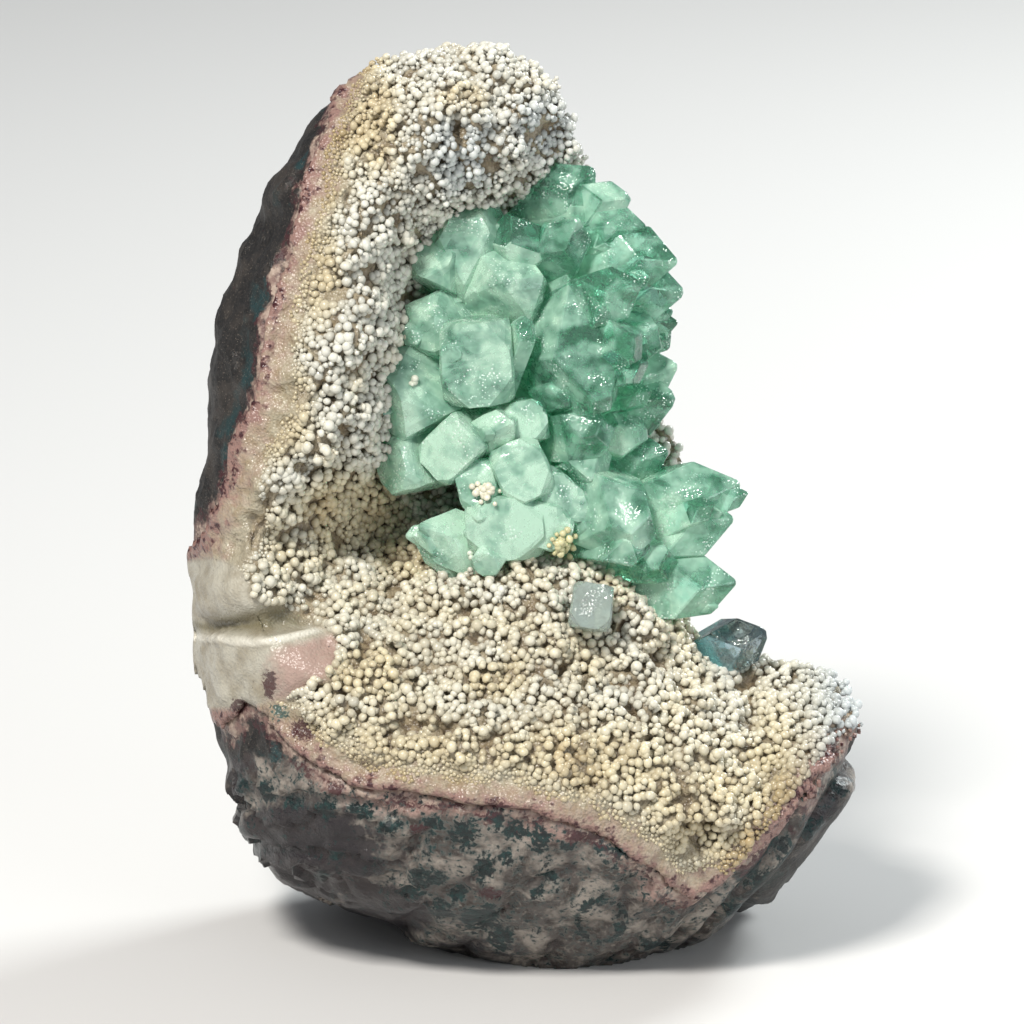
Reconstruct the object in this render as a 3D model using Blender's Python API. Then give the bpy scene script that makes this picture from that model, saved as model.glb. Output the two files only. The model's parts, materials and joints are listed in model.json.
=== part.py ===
"""A broken lump of basalt, its hollow lined with grape-like chalcedony and a fan of green apophyllite.

Places are written as the specimen is seen from its front, from a little above level, in millimetres:
across to the right, up the picture, and deep away from the viewer. seen() turns them into the model's
own frame, with +Z up and the origin at the middle of the flat on which the specimen rests.
"""

import math

import bmesh
import bpy
import numpy as np
from mathutils import Matrix, Vector, noise

MM = 0.001
VIEW_TILT = math.radians(15.0)      # how far above level the front view looks from
REST_FRONT = -25.0                  # deep of the front edge of the resting flat, which is seen at up = 0
REST_CENTRE_Y = 6.0                 # the middle of the resting flat, behind the plane of deep = 0
TOP_UP = 184.4                      # the specimen's full height as seen

# The rock's outline as seen: (up, across) from the foot to the top
LEFT_OUTLINE = [(-8, 2), (0, -7), (6, -23), (10, -28), (13, -39), (17, -47), (22, -52.5), (34, -57),
                (46, -62), (62, -64.8), (76, -65.5), (94, -65.2), (110, -63.6), (128, -62), (134, -59.6),
                (154, -52.2), (166, -44.6), (176, -37), (180.5, -29), (183, -19), (TOP_UP, -12)]
RIGHT_OUTLINE = [(-8, 12), (0, 21.5), (5, 35.5), (10, 43.5), (16, 53), (30, 61.5), (36, 64.4), (46, 65.6),
                 (52, 65), (56, 62.5), (59.5, 56), (62, 43), (66, 34), (72, 31), (84, 31), (96, 33.5),
                 (102, 33.5), (110, 29), (134, 23), (158, 14), (166, 9.5), (176, 5), (181, -1), (183, -5),
                 (TOP_UP, -9)]
FRONT_REACH = [(-8, -16), (0, -25), (8, -36), (16, -46), (26, -54), (36, -59), (60, -61), (120, -60),
               (150, -58), (166, -55), (176, -51), (182, -46), (TOP_UP, -42)]
BACK_REACH = [(-8, 30), (20, 33), (50, 31), (80, 24), (110, 14), (134, 8), (154, 2), (170, -8), (180, -18),
              (TOP_UP, -28)]
RIDGE_SPACING, RIDGE_HEIGHT = 7.0, 2.2       # the slanting ridges at the right of the foot
LEDGE_SPACING, LEDGE_HEIGHT = 9.0, 2.6       # the broken ledges at its left
ROUNDNESS = 2.4                     # 2 would make each slice an ellipse, more makes it boxier

# The crust's face, sculpted by points on it: (across, up, deep)
CRUST_FACE = {
    "hood": [(-10, 182, -42), (-25, 178, -44), (-36, 172, -43), (4, 174, -40), (-11, 170, -52),
             (-26, 166, -53), (5, 167, -38), (-13, 158, -48), (-26, 154, -52), (0, 158, -36), (9, 159, -24),
             (4, 152, -20)],
    "left wall": [(-39, 156, -52), (-45, 142, -53), (-33, 148, -57), (-36, 134, -58), (-47, 128, -54),
                  (-29, 140, -52), (-28, 127, -50), (-35, 118, -56), (-45, 114, -56), (-31, 112, -47),
                  (-49, 103, -56), (-40, 103, -52), (-57, 94, -54), (-45, 94, -47), (-35, 98, -40)],
    "hollow": [(-22, 140, -26), (-23, 124, -26), (-26, 100, -24), (-24, 90, -12), (-17, 94, -8),
               (-5, 134, -16), (19, 134, -12), (-5, 114, -10), (15, 114, -9), (28, 108, -12), (-5, 94, -8),
               (19, 94, -7), (32, 96, -10)],
    "pocket": [(-39, 86, -33), (-32, 82, -25), (-55, 78, -50), (-45, 74, -45), (-29, 74, -37)],
    "mound": [(-18, 79, -35), (-4, 80, -37), (8, 80, -37), (20, 77, -35), (31, 69, -30), (-35, 68, -46),
              (-14, 66, -45), (8, 66, -44), (24, 62, -41), (-45, 58, -54), (-24, 54, -54), (-4, 54, -53),
              (16, 50, -51), (36, 46, -46), (-34, 42, -60), (-14, 40, -61), (8, 36, -60), (26, 30, -56)],
    "right end": [(40, 61, -24), (56, 60, -16), (64, 54, -14), (56, 46, -30), (40, 28, -50), (52, 34, -42),
                  (62, 42, -28)],
}
CRUST_THICK = 6.5
CRUST_GAP = 0.9                     # kept along the line of sight between the crust and the rock behind it

# Where the crust's edge shows on the broken rock: (across, up), round the whole crust
CRUST_EDGE = [(-35, 190), (-34.6, 179), (-38.6, 168), (-42, 156), (-45, 147), (-50, 130), (-52, 116),
              (-55.5, 106), (-59, 96), (-63.5, 85), (-72, 80), (-72, 56), (-57, 55), (-46, 46), (-36, 39),
              (-14, 35), (2, 33), (16, 28), (26, 20), (33, 15.5), (42, 20), (53, 34), (62, 46), (72, 50),
              (76, 100), (40, 180), (0, 200)]
EDGE_SLOPE = 1.7                    # how steeply the crust's underside dives in from its edge

CRUST_PROUD = 1.0                   # how far the crust stands out past the broken rock
LUMP_SPACING = 8.6
LUMP_HEIGHT = (2.4, 4.6)            # how far lumps stand out, and the valleys between them
VALLEY = (-0.6, 1.0)
CLUMP_SIZE, CLUMP_HEIGHT = 13, 2.6
SMOOTH_PATCH = ((-62, 66), (22, 14))         # the smooth, banded part of the crust: middle and half sizes

# The crystals: foot and tip as (across, up, deep), width as seen, thickness, turn about the length in
# degrees, and bluntness: near 0 for a sharp tip, 1 for a plain box
CRYSTALS = {
    "upper right fan": [
        ((1.5, 149.5, -24), (13.9, 159.9, -34), 11, 10, 4, 0.1),
        ((2, 150.5, -24), (20.9, 154, -36), 8.5, 9, -6, 0.16),
        ((-1, 148.5, -24), (24.4, 148.2, -37), 10, 8, 8, 0.08),
        ((1, 145, -23), (27, 145.2, -34), 10, 8, -10, 0.1),
        ((1, 144.5, -23), (30.6, 141.4, -39), 13, 8, 4, 0.06),
        ((6, 136.5, -23), (31.8, 135.4, -34), 11, 9, -8, 0.1),
        ((12, 131, -22), (29.8, 131.6, -31), 5.5, 6, 16, 0.12),
        ((12, 126.6, -22), (30.9, 129.6, -29), 6, 6, -12, 0.08),
        ((12, 125, -20), (29, 126.8, -28), 6, 6, 20, 0.4),
        ((2, 136, -22), (10.8, 149.6, -42), 9.5, 9, 14, 0.08),
        ((-6, 138, -20), (0.5, 147, -38), 12, 10, -20, 0.4),
        ((1, 127.5, -26), (23.2, 137, -43), 11, 8, -10, 0.08),
    ],
    "centre": [
        ((5, 133, -20), (15.8, 112.6, -44), 23, 19, 26, 0.12),
        ((6, 126, -22), (26, 125.4, -38), 12, 10, -20, 0.3),
        ((9, 115, -18), (30.6, 120.9, -32), 11, 9, 8, 0.08),
        ((8, 111.6, -18), (29.9, 114.3, -33), 13.5, 10, -6, 0.12),
        ((8, 100, -18), (28.9, 103.6, -32), 9, 8, 12, 0.08),
        ((-2, 107, -20), (16.4, 107.4, -41), 10, 9, 14, 0.3),
        ((10, 108, -20), (13.6, 98, -40), 9, 9, 42, 0.06),
        ((-5, 113, -32), (0.9, 129.6, -43), 3.6, 6, 30, 0.3),
        ((6, 108, -18), (24, 107, -35), 10, 9, -24, 0.2),
    ],
    "left, frosted": [
        ((-9, 131, -20), (-11, 152, -36), 16, 13, 38, 0.34),
        ((-10, 136, -20), (-18.4, 143, -36), 10, 10, 20, 0.6),
        ((-5, 124, -20), (-2.4, 141, -38), 14.5, 11, -14, 0.5),
        ((-8.4, 125, -20), (-9.2, 120.6, -44), 14.5, 17, 14, 0.64),
        ((-6, 122, -22), (-27.6, 113.4, -37), 17, 12, 10, 0.6),
        ((-7, 130, -22), (-20.6, 128, -38), 12, 10, 30, 0.5),
        ((-6, 104, -20), (-26.4, 100.8, -35), 11, 10, 8, 0.7),
        ((-6, 107, -20), (-15, 103.8, -41), 10, 12, 24, 0.76),
        ((-13, 105, -24), (-2, 109.4, -44), 7.5, 8, 8, 0.06),
        ((0, 108, -16), (0.4, 109.8, -40), 9, 8, 22, 0.66),
        ((0, 98, -18), (-0.2, 99.8, -43), 10.5, 12, 16, 0.66),
        ((-6, 96, -20), (-9.4, 97.4, -41), 9, 8, 38, 0.7),
        ((5, 96, -18), (8, 94.4, -40), 7.5, 12.5, -10, 0.66),
    ],
    "lower left": [
        ((-4, 82, -29), (-20.4, 88.9, -38), 12, 8, 4, 0.06),
        ((-6, 81, -29), (-21.9, 87.2, -36), 10, 7, -12, 0.06),
        ((-3, 91.5, -22), (-3.6, 88, -42), 15.5, 13, 12, 0.62),
        ((2, 91, -22), (4.4, 88.6, -41), 9, 11, 30, 0.66),
    ],
    "lower right fan": [
        ((16, 88, -25), (43.1, 97.3, -35), 14.5, 11, 10, 0.06),
        ((24, 86, -30), (38, 93.4, -40), 5, 5, -16, 0.08),
        ((18, 87, -26), (41.8, 90.2, -36), 13, 10, -8, 0.06),
        ((23, 76, -28), (42.4, 77.6, -35), 12, 9, 6, 0.06),
        ((4, 100, -20), (24, 87, -43), 15, 12, 20, 0.3),
        ((9, 86, -27), (23.4, 85, -42), 9, 8, -12, 0.4),
        ((17, 84, -29), (29, 81, -38), 8, 8, 24, 0.4),
    ],
}
TIP_STEEPNESS = 0.9                          # how fast the tip's faces close in
FOOT_TAPER = 0.86                            # a crystal is this much narrower at its foot
ROOT = ((3, 116, -17), (20, 30, 8))         # the mass that they all grow from: middle and half sizes
FRONT_CRYSTAL = ((13.6, 71.6, -37), (13.6, 73.2, -49), 8, 9, -8, 0.72)
SIDE_CRYSTAL = ((36, 62.4, -20), (48.4, 67.4, -27), 9.8, 9, 12, 0.14)
CRYSTAL_GAP = 0.35                  # kept between the crystals and the crust or rock around them

LEAST_SKIN = 1.6                    # the sheets of the crust stay this far apart where they would cross
FACETS_AROUND, SLICE_STEP = 112, 2.0         # how finely the rock is made before its facets are thinned
FACETS_KEPT = 0.1
FAR_FRONT = -95.0                            # in front of everything
SHEET_LEFT, SHEET_RIGHT = -78.0, 78.0        # the crust's sheets reach past the rock all round
SHEET_FOOT, SHEET_TOP = 8.0, 200.0
GRID_COARSE, GRID_FLAT = 8.0, 40.0
SEED = 11


def seen(across, up, deep):
    """The point of the model, in metres, that is seen at across and up, deep away from the viewer."""
    y = up * math.sin(VIEW_TILT) + deep * math.cos(VIEW_TILT) - REST_CENTRE_Y
    z = up * math.cos(VIEW_TILT) - (deep - REST_FRONT) * math.sin(VIEW_TILT)
    return Vector((across, y, z)) * MM


def along(knots, up):
    """Reads a list of (up, value) knots with a smooth curve through them."""
    ups = np.array([k[0] for k in knots], float)
    values = np.array([k[1] for k in knots], float)
    slopes = np.gradient(values, ups)
    up = np.clip(up, ups[0], ups[-1])
    i = np.clip(np.searchsorted(ups, up) - 1, 0, len(ups) - 2)
    span = ups[i + 1] - ups[i]
    t = (up - ups[i]) / span
    rise = t * t * (3 - 2 * t)
    bend = t * (1 - t) * span * ((1 - t) * slopes[i] - t * slopes[i + 1])
    return values[i] + (values[i + 1] - values[i]) * rise + 0.5 * bend


def slice_at(up):
    """Middle and half size of the rock's slice: (across, half width, deep, half depth)."""
    left, right = along(LEFT_OUTLINE, up), along(RIGHT_OUTLINE, up)
    front, back = along(FRONT_REACH, up), along(BACK_REACH, up)
    return (left + right) / 2, (right - left) / 2, (front + back) / 2, (back - front) / 2


def rock_front(across, up):
    """How deep the whole rock's front face lies, before its roughness."""
    middle, half, deep, half_deep = slice_at(up)
    share = np.clip(np.abs((across - middle) / half), 0, 1)
    return deep - half_deep * (1 - share**ROUNDNESS) ** (1 / ROUNDNESS)


class Relief:
    """A smooth face through a few sculpted points: deep as a function of across and up."""

    def __init__(self, points):
        points = np.array(points, float)
        self.places = points[:, :2]
        count = len(points)
        kernel = self.kernel(self.places)
        flat = np.hstack([np.ones((count, 1)), self.places])
        system = np.block([[kernel, flat], [flat.T, np.zeros((3, 3))]])
        self.weights = np.linalg.solve(system, np.concatenate([points[:, 2], np.zeros(3)]))

    def kernel(self, places):
        gaps = np.linalg.norm(places[:, None] - self.places[None], axis=2)
        return gaps**2 * np.log(gaps + 1e-9)

    def __call__(self, across, up):
        places = np.column_stack([np.ravel(across), np.ravel(up)])
        flat = np.hstack([np.ones((len(places), 1)), places])
        deep = self.kernel(places) @ self.weights[:-3] + flat @ self.weights[-3:]
        return deep.reshape(np.shape(across))


crust_relief = Relief([point for group in CRUST_FACE.values() for point in group])


def inside_edge(across, up):
    """Distance in from the crust's edge, negative outside it."""
    corners = np.array(CRUST_EDGE, float)
    nearest = np.full(np.shape(across), 1e9)
    inside = np.zeros(np.shape(across), bool)
    for a, b in zip(corners, np.roll(corners, -1, axis=0)):
        run = b - a
        t = np.clip(((across - a[0]) * run[0] + (up - a[1]) * run[1]) / (run @ run), 0, 1)
        gap = np.hypot(across - a[0] - t * run[0], up - a[1] - t * run[1])
        nearest = np.minimum(nearest, gap)
        crosses = (a[1] > up) != (b[1] > up)
        with np.errstate(divide="ignore", invalid="ignore"):
            side = across < a[0] + (up - a[1]) * run[0] / run[1]
        inside ^= crosses & side
    return np.where(inside, nearest, -nearest)


def crust_depth(across, up):
    """How deep the crust's face lies before its lumps, which is nowhere in front of the rock."""
    return np.maximum(crust_relief(across, up), rock_front(across, up))


def crust_underside(across, up):
    """How deep the back of the crust lies: behind its face, and rising to the rock's face at its edge."""
    lining = crust_depth(across, up) + CRUST_THICK
    rim = rock_front(across, up) + EDGE_SLOPE * inside_edge(across, up)
    return np.minimum(lining, rim)


def lumpy_sheet(backing):
    """The crust's face: every other point of a three-way lattice is the top of a lump."""
    rng = np.random.default_rng(SEED)
    step = LUMP_SPACING / 2
    sheet = Sheet(step, step * 0.866)
    rows, columns = sheet.across.shape
    sheet.across[1::2, 1:-1] += step / 2
    row, column = np.indices((rows, columns))
    top = (row % 2 == 0) & ((column - row // 2) % 2 == 0)
    inner = (row > 0) & (row < rows - 1) & (column > 0) & (column < columns - 1)
    loose = np.where(top, 0.2, 0.09) * LUMP_SPACING * inner
    sheet.across += loose * rng.uniform(-1, 1, loose.shape)
    sheet.up += loose * rng.uniform(-1, 1, loose.shape)
    rise = np.where(top, rng.uniform(*LUMP_HEIGHT, loose.shape), rng.uniform(*VALLEY, loose.shape))
    (middle, foot), (wide, high) = SMOOTH_PATCH
    off_patch = np.hypot((sheet.across - middle) / wide, (sheet.up - foot) / high)
    rise *= np.clip(2.5 * (off_patch - 0.8), 0, 1)
    deep = crust_depth(sheet.across, sheet.up)
    places = zip(sheet.across.ravel(), sheet.up.ravel())
    clumps = [noise.noise(Vector((x, y, 50)) / CLUMP_SIZE) for x, y in places]
    deep = deep - rise - CLUMP_HEIGHT * np.reshape(clumps, deep.shape)
    sheet.deep = np.minimum(deep, backing.deep_at(sheet.across, sheet.up) - LEAST_SKIN)
    return sheet


def mesh_object(name, points, faces):
    """An object from points in metres."""
    mesh = bpy.data.meshes.new(name)
    mesh.from_pydata([tuple(p) for p in points], [], faces)
    mesh.validate()
    made = bpy.data.objects.new(name, mesh)
    bpy.context.scene.collection.objects.link(made)
    return made


def helper(made):
    """Marks a cutter or a guide, which isn't part of the specimen."""
    made.hide_render = True
    made.display_type = "WIRE"
    return made


def between(low, high, value):
    """0 below low, 1 above high, and a smooth rise from one to the other."""
    share = min(1.0, max(0.0, (value - low) / (high - low)))
    return share * share * (3 - 2 * share)


def roughness(point, across, up):
    """How far the rock's weathered skin stands out at a point, in millimetres."""
    p = point / MM
    swell = 2.0 * noise.noise(p / 21) + 1.2 * noise.noise(p / 9 + Vector((5, 0, 0)))
    right_foot = between(6, 26, across) * between(56, 40, up)
    ridge = 1 - abs(math.sin((0.72 * across - 0.69 * up) * math.pi / RIDGE_SPACING))
    left_foot = between(4, -12, across) * between(44, 34, up)
    step = 1 - (up / LEDGE_SPACING + 0.35 * noise.noise(p / 14)) % 1
    return swell + RIDGE_HEIGHT * ridge * right_foot + LEDGE_HEIGHT * step * left_foot


def build_envelope(name, grow):
    """The whole broken piece before the hollow: slices stacked up the picture."""
    ups = np.arange(LEFT_OUTLINE[0][0], TOP_UP, SLICE_STEP)
    mesh = bmesh.new()
    rings = []
    for up in ups:
        middle, half, deep, half_deep = slice_at(up)
        half, half_deep = half + grow, half_deep + grow
        ring = []
        for turn in np.arange(FACETS_AROUND) * 2 * math.pi / FACETS_AROUND:
            c, s = math.cos(turn), math.sin(turn)
            x = middle + half * math.copysign(abs(c) ** (2 / ROUNDNESS), c)
            d = deep + half_deep * math.copysign(abs(s) ** (2 / ROUNDNESS), s)
            base = seen(x, up, d)
            out = (base - seen(middle, up, deep)).normalized()
            ring.append(mesh.verts.new(base + out * roughness(base, x, up) * MM))
        rings.append(ring)
    for low, high in zip(rings, rings[1:]):
        for i in range(FACETS_AROUND):
            j = (i + 1) % FACETS_AROUND
            mesh.faces.new((low[i], low[j], high[j], high[i]))
    mesh.faces.new(rings[0][::-1])
    mesh.faces.new(rings[-1])
    bmesh.ops.recalc_face_normals(mesh, faces=mesh.faces[:])
    made = bpy.data.meshes.new(name)
    mesh.to_mesh(made)
    mesh.free()
    envelope = bpy.data.objects.new(name, made)
    bpy.context.scene.collection.objects.link(envelope)
    envelope.modifiers.new("fewer facets", "DECIMATE").ratio = FACETS_KEPT
    return envelope


class Sheet:
    """A face as rows of points over the rectangle that all sheets share."""

    def __init__(self, step, row_step, face=None):
        columns = round((SHEET_RIGHT - SHEET_LEFT) / step) + 1
        rows = round((SHEET_TOP - SHEET_FOOT) / row_step) + 1
        self.across, self.up = np.meshgrid(np.linspace(SHEET_LEFT, SHEET_RIGHT, columns),
                                           np.linspace(SHEET_FOOT, SHEET_TOP, rows))
        self.deep = face(self.across, self.up) if face else None

    def deep_at(self, across, up):
        """How deep the sheet lies between its points."""
        rows, columns = self.deep.shape
        x = np.clip((across - SHEET_LEFT) / (SHEET_RIGHT - SHEET_LEFT) * (columns - 1), 0, columns - 1.001)
        y = np.clip((up - SHEET_FOOT) / (SHEET_TOP - SHEET_FOOT) * (rows - 1), 0, rows - 1.001)
        i, j = x.astype(int), y.astype(int)
        s, t = x - i, y - j
        low = self.deep[j, i] * (1 - s) + self.deep[j, i + 1] * s
        high = self.deep[j + 1, i] * (1 - s) + self.deep[j + 1, i + 1] * s
        return low * (1 - t) + high * t


def slab(name, front, back):
    """A closed solid between two sheets."""
    points, faces, rims = [], [], []
    for sheet, towards_viewer in ((front, True), (back, False)):
        rows, columns = sheet.deep.shape
        index = len(points) + np.arange(rows * columns).reshape(rows, columns)
        points += [seen(*p) for p in zip(sheet.across.ravel(), sheet.up.ravel(), sheet.deep.ravel())]
        for r in range(rows - 1):
            for c in range(columns - 1):
                near, next_ = index[r, c:c + 2]
                over, over_next = index[r + 1, c:c + 2]
                halves = [(near, next_, over), (next_, over_next, over)]
                if r % 2:
                    halves = [(near, next_, over_next), (near, over_next, over)]
                for corner in halves:
                    faces.append([int(i) for i in (corner if towards_viewer else corner[::-1])])
        rims.append([index[0, :], index[:, -1], index[-1, ::-1], index[::-1, 0]])
    for ahead, behind in zip(*rims):
        faces.append([int(i) for i in ahead[::-1]] + [int(i) for i in behind])
    return mesh_object(name, points, faces)


def boolean(made, operation, other):
    cut = made.modifiers.new(operation.lower() + " " + other.name, "BOOLEAN")
    cut.operation = operation
    cut.object = other
    cut.solver = "MANIFOLD"
    return cut


def settle(made):
    """Applies the modifiers and keeps the largest piece, because a cut can leave crumbs."""
    graph = bpy.context.evaluated_depsgraph_get()
    mesh = bpy.data.meshes.new_from_object(made.evaluated_get(graph))
    made.modifiers.clear()
    made.data = mesh
    work = bmesh.new()
    work.from_mesh(mesh)
    left, pieces = set(work.verts), []
    while left:
        piece, edge = set(), {left.pop()}
        while edge:
            vert = edge.pop()
            piece.add(vert)
            for other in (e.other_vert(vert) for e in vert.link_edges):
                if other in left:
                    left.discard(other)
                    edge.add(other)
        pieces.append(piece)
    pieces.sort(key=len)
    bmesh.ops.delete(work, geom=[v for piece in pieces[:-1] for v in piece], context="VERTS")
    work.to_mesh(mesh)
    work.free()
    return made


def crystal_points(foot, tip, width, thickness, turn, bluntness, grow=0.0):
    """Corners of one crystal: a square prism whose corners are cut by the four faces of its tip."""
    foot, tip = seen(*foot) / MM, seen(*tip) / MM
    along_it = (tip - foot).normalized()
    towards_viewer = seen(0, 0, -1) - seen(0, 0, 0)
    side = along_it.cross(towards_viewer).normalized()
    side = Matrix.Rotation(math.radians(turn), 3, along_it) @ side
    face = along_it.cross(side)
    long = (tip - foot).length + grow
    top = 2 * bluntness
    rise = width / 2 / TIP_STEEPNESS
    square = [(1, 1), (-1, 1), (-1, -1), (1, -1)]
    foot_square = [(FOOT_TAPER * i, FOOT_TAPER * j) for i, j in square]
    marks = [(-grow, foot_square), (long - rise * (2 - top), square)]
    if top < 1:
        marks.append((long - rise * (1 - top), [(1, 0), (0, 1), (-1, 0), (0, -1)]))
        marks.append((long, [(top, 0), (0, top), (-top, 0), (0, -top)]))
    else:
        cut = top - 1
        marks.append((long, [(i, j * cut) for i, j in square] + [(i * cut, j) for i, j in square]))
    corners = []
    for far, section in marks:
        for i, j in section:
            corners.append((foot + along_it * far + side * i * (width / 2 + grow)
                            + face * j * (thickness / 2 + grow)) * MM)
    return corners


def hull_object(name, points):
    """The convex solid round some points."""
    mesh = bmesh.new()
    verts = [mesh.verts.new(p) for p in points]
    hull = bmesh.ops.convex_hull(mesh, input=verts, use_existing_faces=False)
    spare = {v for v in hull["geom_interior"] + hull["geom_unused"] if isinstance(v, bmesh.types.BMVert)}
    bmesh.ops.delete(mesh, geom=list(spare), context="VERTS")
    flat = math.radians(0.5)
    bmesh.ops.dissolve_limit(mesh, angle_limit=flat, verts=mesh.verts[:], edges=mesh.edges[:])
    bmesh.ops.recalc_face_normals(mesh, faces=mesh.faces[:])
    made = bpy.data.meshes.new(name)
    mesh.to_mesh(made)
    mesh.free()
    return bpy.data.objects.new(name, made)


def root_points(grow=0.0):
    middle, half = ROOT
    points = []
    for turn in range(0, 360, 40):
        for tilt in (-60, -20, 20, 60):
            c, s = math.cos(math.radians(turn)), math.sin(math.radians(turn))
            flat = math.cos(math.radians(tilt))
            across = middle[0] + (half[0] + grow) * c * flat
            up = middle[1] + (half[1] + grow) * s * flat
            points.append(seen(across, up, middle[2] + (half[2] + grow) * math.sin(math.radians(tilt))))
    return points


def grown_together(name, grow=0.0):
    """All the crystals of the cluster joined in one solid."""
    parts = bpy.data.collections.new(name + " parts")
    bpy.context.scene.collection.children.link(parts)
    parts.hide_render = True
    for crystals in CRYSTALS.values():
        for crystal in crystals:
            solid = hull_object(name + " crystal", crystal_points(*crystal, grow=grow))
            parts.objects.link(helper(solid))
    cluster = hull_object(name, root_points(grow))
    bpy.context.scene.collection.objects.link(cluster)
    join = cluster.modifiers.new("join", "BOOLEAN")
    join.operation = "UNION"
    join.operand_type = "COLLECTION"
    join.collection = parts
    join.solver = "EXACT"
    return cluster


def flat_front(across, up):
    return np.full(np.shape(across), FAR_FRONT)


def single_crystal(name, crystal, grow=0.0):
    made = hull_object(name, crystal_points(*crystal, grow=grow))
    bpy.context.scene.collection.objects.link(made)
    return made


def cut_foot(rock):
    """Cuts the rock flat where it rests."""
    mesh = bmesh.new()
    mesh.from_mesh(rock.data)
    everything = mesh.verts[:] + mesh.edges[:] + mesh.faces[:]
    cut = bmesh.ops.bisect_plane(mesh, geom=everything, plane_co=(0, 0, 0), plane_no=(0, 0, -1),
                                 clear_outer=True)
    rim = [e for e in cut["geom_cut"] if isinstance(e, bmesh.types.BMEdge)]
    bmesh.ops.contextual_create(mesh, geom=rim)
    mesh.to_mesh(rock.data)
    mesh.free()


def paint(made, colour, roughness, transmission=0.0, ior=1.5, coat=0.0):
    material = bpy.data.materials.new(made.name)
    material.use_nodes = True
    surface = material.node_tree.nodes["Principled BSDF"]
    surface.inputs["Base Color"].default_value = (*colour, 1)
    surface.inputs["Roughness"].default_value = roughness
    surface.inputs["Metallic"].default_value = 0
    surface.inputs["Transmission Weight"].default_value = transmission
    surface.inputs["IOR"].default_value = ior
    surface.inputs["Coat Weight"].default_value = coat
    made.data.materials.clear()
    made.data.materials.append(material)


def main():
    for old in list(bpy.data.objects):
        bpy.data.objects.remove(old)
    rock = build_envelope("basalt_matrix", 0)
    outer = helper(build_envelope("crust outer", CRUST_PROUD))
    underside = Sheet(GRID_COARSE, GRID_COARSE, crust_underside)
    backing = Sheet(GRID_COARSE, GRID_COARSE, lambda across, up: crust_underside(across, up) - CRUST_GAP)
    hollow = helper(slab("hollow", Sheet(GRID_FLAT, GRID_FLAT, flat_front), underside))
    crust = slab("chalcedony_crust", lumpy_sheet(backing), backing)
    boolean(crust, "INTERSECT", outer)
    boolean(rock, "DIFFERENCE", hollow)

    cluster = settle(grown_together("apophyllite_cluster"))
    sockets = [helper(settle(grown_together("cluster socket", grow=CRYSTAL_GAP)))]
    singles = []
    for name, crystal in (("front_crystal", FRONT_CRYSTAL), ("side_crystal", SIDE_CRYSTAL)):
        singles.append(single_crystal(name, crystal))
        sockets.append(helper(single_crystal(name + " socket", crystal, grow=CRYSTAL_GAP)))
    for socket in sockets:
        boolean(crust, "DIFFERENCE", socket)
        boolean(rock, "DIFFERENCE", socket)
    bpy.context.view_layer.update()
    settle(crust)
    settle(rock)
    cut_foot(rock)

    paint(rock, (0.075, 0.062, 0.058), 0.75)
    paint(crust, (0.72, 0.67, 0.56), 0.32, coat=0.3)
    paint(cluster, (0.42, 0.72, 0.58), 0.12, transmission=0.8, ior=1.535)
    paint(singles[0], (0.60, 0.72, 0.70), 0.25, transmission=0.7, ior=1.535)
    paint(singles[1], (0.45, 0.56, 0.58), 0.08, transmission=0.9, ior=1.535)


main()
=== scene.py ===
import json
import math

import bmesh
import bpy
import numpy as np
from mathutils import Matrix, Vector, noise
from mathutils.bvhtree import BVHTree

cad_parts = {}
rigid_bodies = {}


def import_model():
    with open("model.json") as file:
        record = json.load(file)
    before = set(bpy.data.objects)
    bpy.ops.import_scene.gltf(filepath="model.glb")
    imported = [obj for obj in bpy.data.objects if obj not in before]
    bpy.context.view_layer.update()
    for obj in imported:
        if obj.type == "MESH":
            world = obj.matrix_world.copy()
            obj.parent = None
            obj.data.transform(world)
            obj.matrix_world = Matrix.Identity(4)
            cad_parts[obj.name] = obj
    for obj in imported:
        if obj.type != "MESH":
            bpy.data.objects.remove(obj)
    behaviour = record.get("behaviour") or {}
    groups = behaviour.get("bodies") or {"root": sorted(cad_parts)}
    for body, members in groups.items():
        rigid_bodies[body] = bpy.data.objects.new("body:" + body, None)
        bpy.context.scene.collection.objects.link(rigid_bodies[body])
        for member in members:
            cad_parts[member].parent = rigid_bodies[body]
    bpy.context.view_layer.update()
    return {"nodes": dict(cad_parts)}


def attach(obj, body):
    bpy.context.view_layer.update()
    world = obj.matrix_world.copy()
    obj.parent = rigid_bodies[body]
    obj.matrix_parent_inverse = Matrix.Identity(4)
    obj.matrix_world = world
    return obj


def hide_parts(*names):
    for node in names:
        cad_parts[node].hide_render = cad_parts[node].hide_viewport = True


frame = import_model()
print("frame loaded")
scene = bpy.context.scene

# Places are given as the specimen is seen from its front, in millimetres:
# across to the right, up the picture, and deep away from the viewer.
look = {
    "tilt": math.radians(15),       # the picture looks down by this much
    "restFront": -25,               # deep of the resting flat's front edge
    "restMiddle": 6,                # deep of its middle
    "middle": (-2.2, 91.6, -30),    # what the camera points at
    "distance": 1700,
    "width": 204.8,                 # millimetres that the picture takes in
    "sensor": 36,                   # the camera's own width, mm
}
tiltSin, tiltCos = math.sin(look["tilt"]), math.cos(look["tilt"])


def seen(across, up, deep):
    y = up * tiltSin + deep * tiltCos - look["restMiddle"]
    z = up * tiltCos - (deep - look["restFront"]) * tiltSin
    return Vector((across, y, z)) / 1000


def asSeen(points):  # the other way: across, up and deep of points in metres
    x, y, z = (np.asarray(points) * 1000).T
    y = y + look["restMiddle"]
    z = z - look["restFront"] * tiltSin
    return x, z * tiltCos + y * tiltSin, y * tiltCos - z * tiltSin


def smooth(low, high, value):  # 0 below low, 1 above high, a soft rise between
    share = np.clip((value - low) / (high - low), 0, 1)
    return share * share * (3 - 2 * share)


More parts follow.
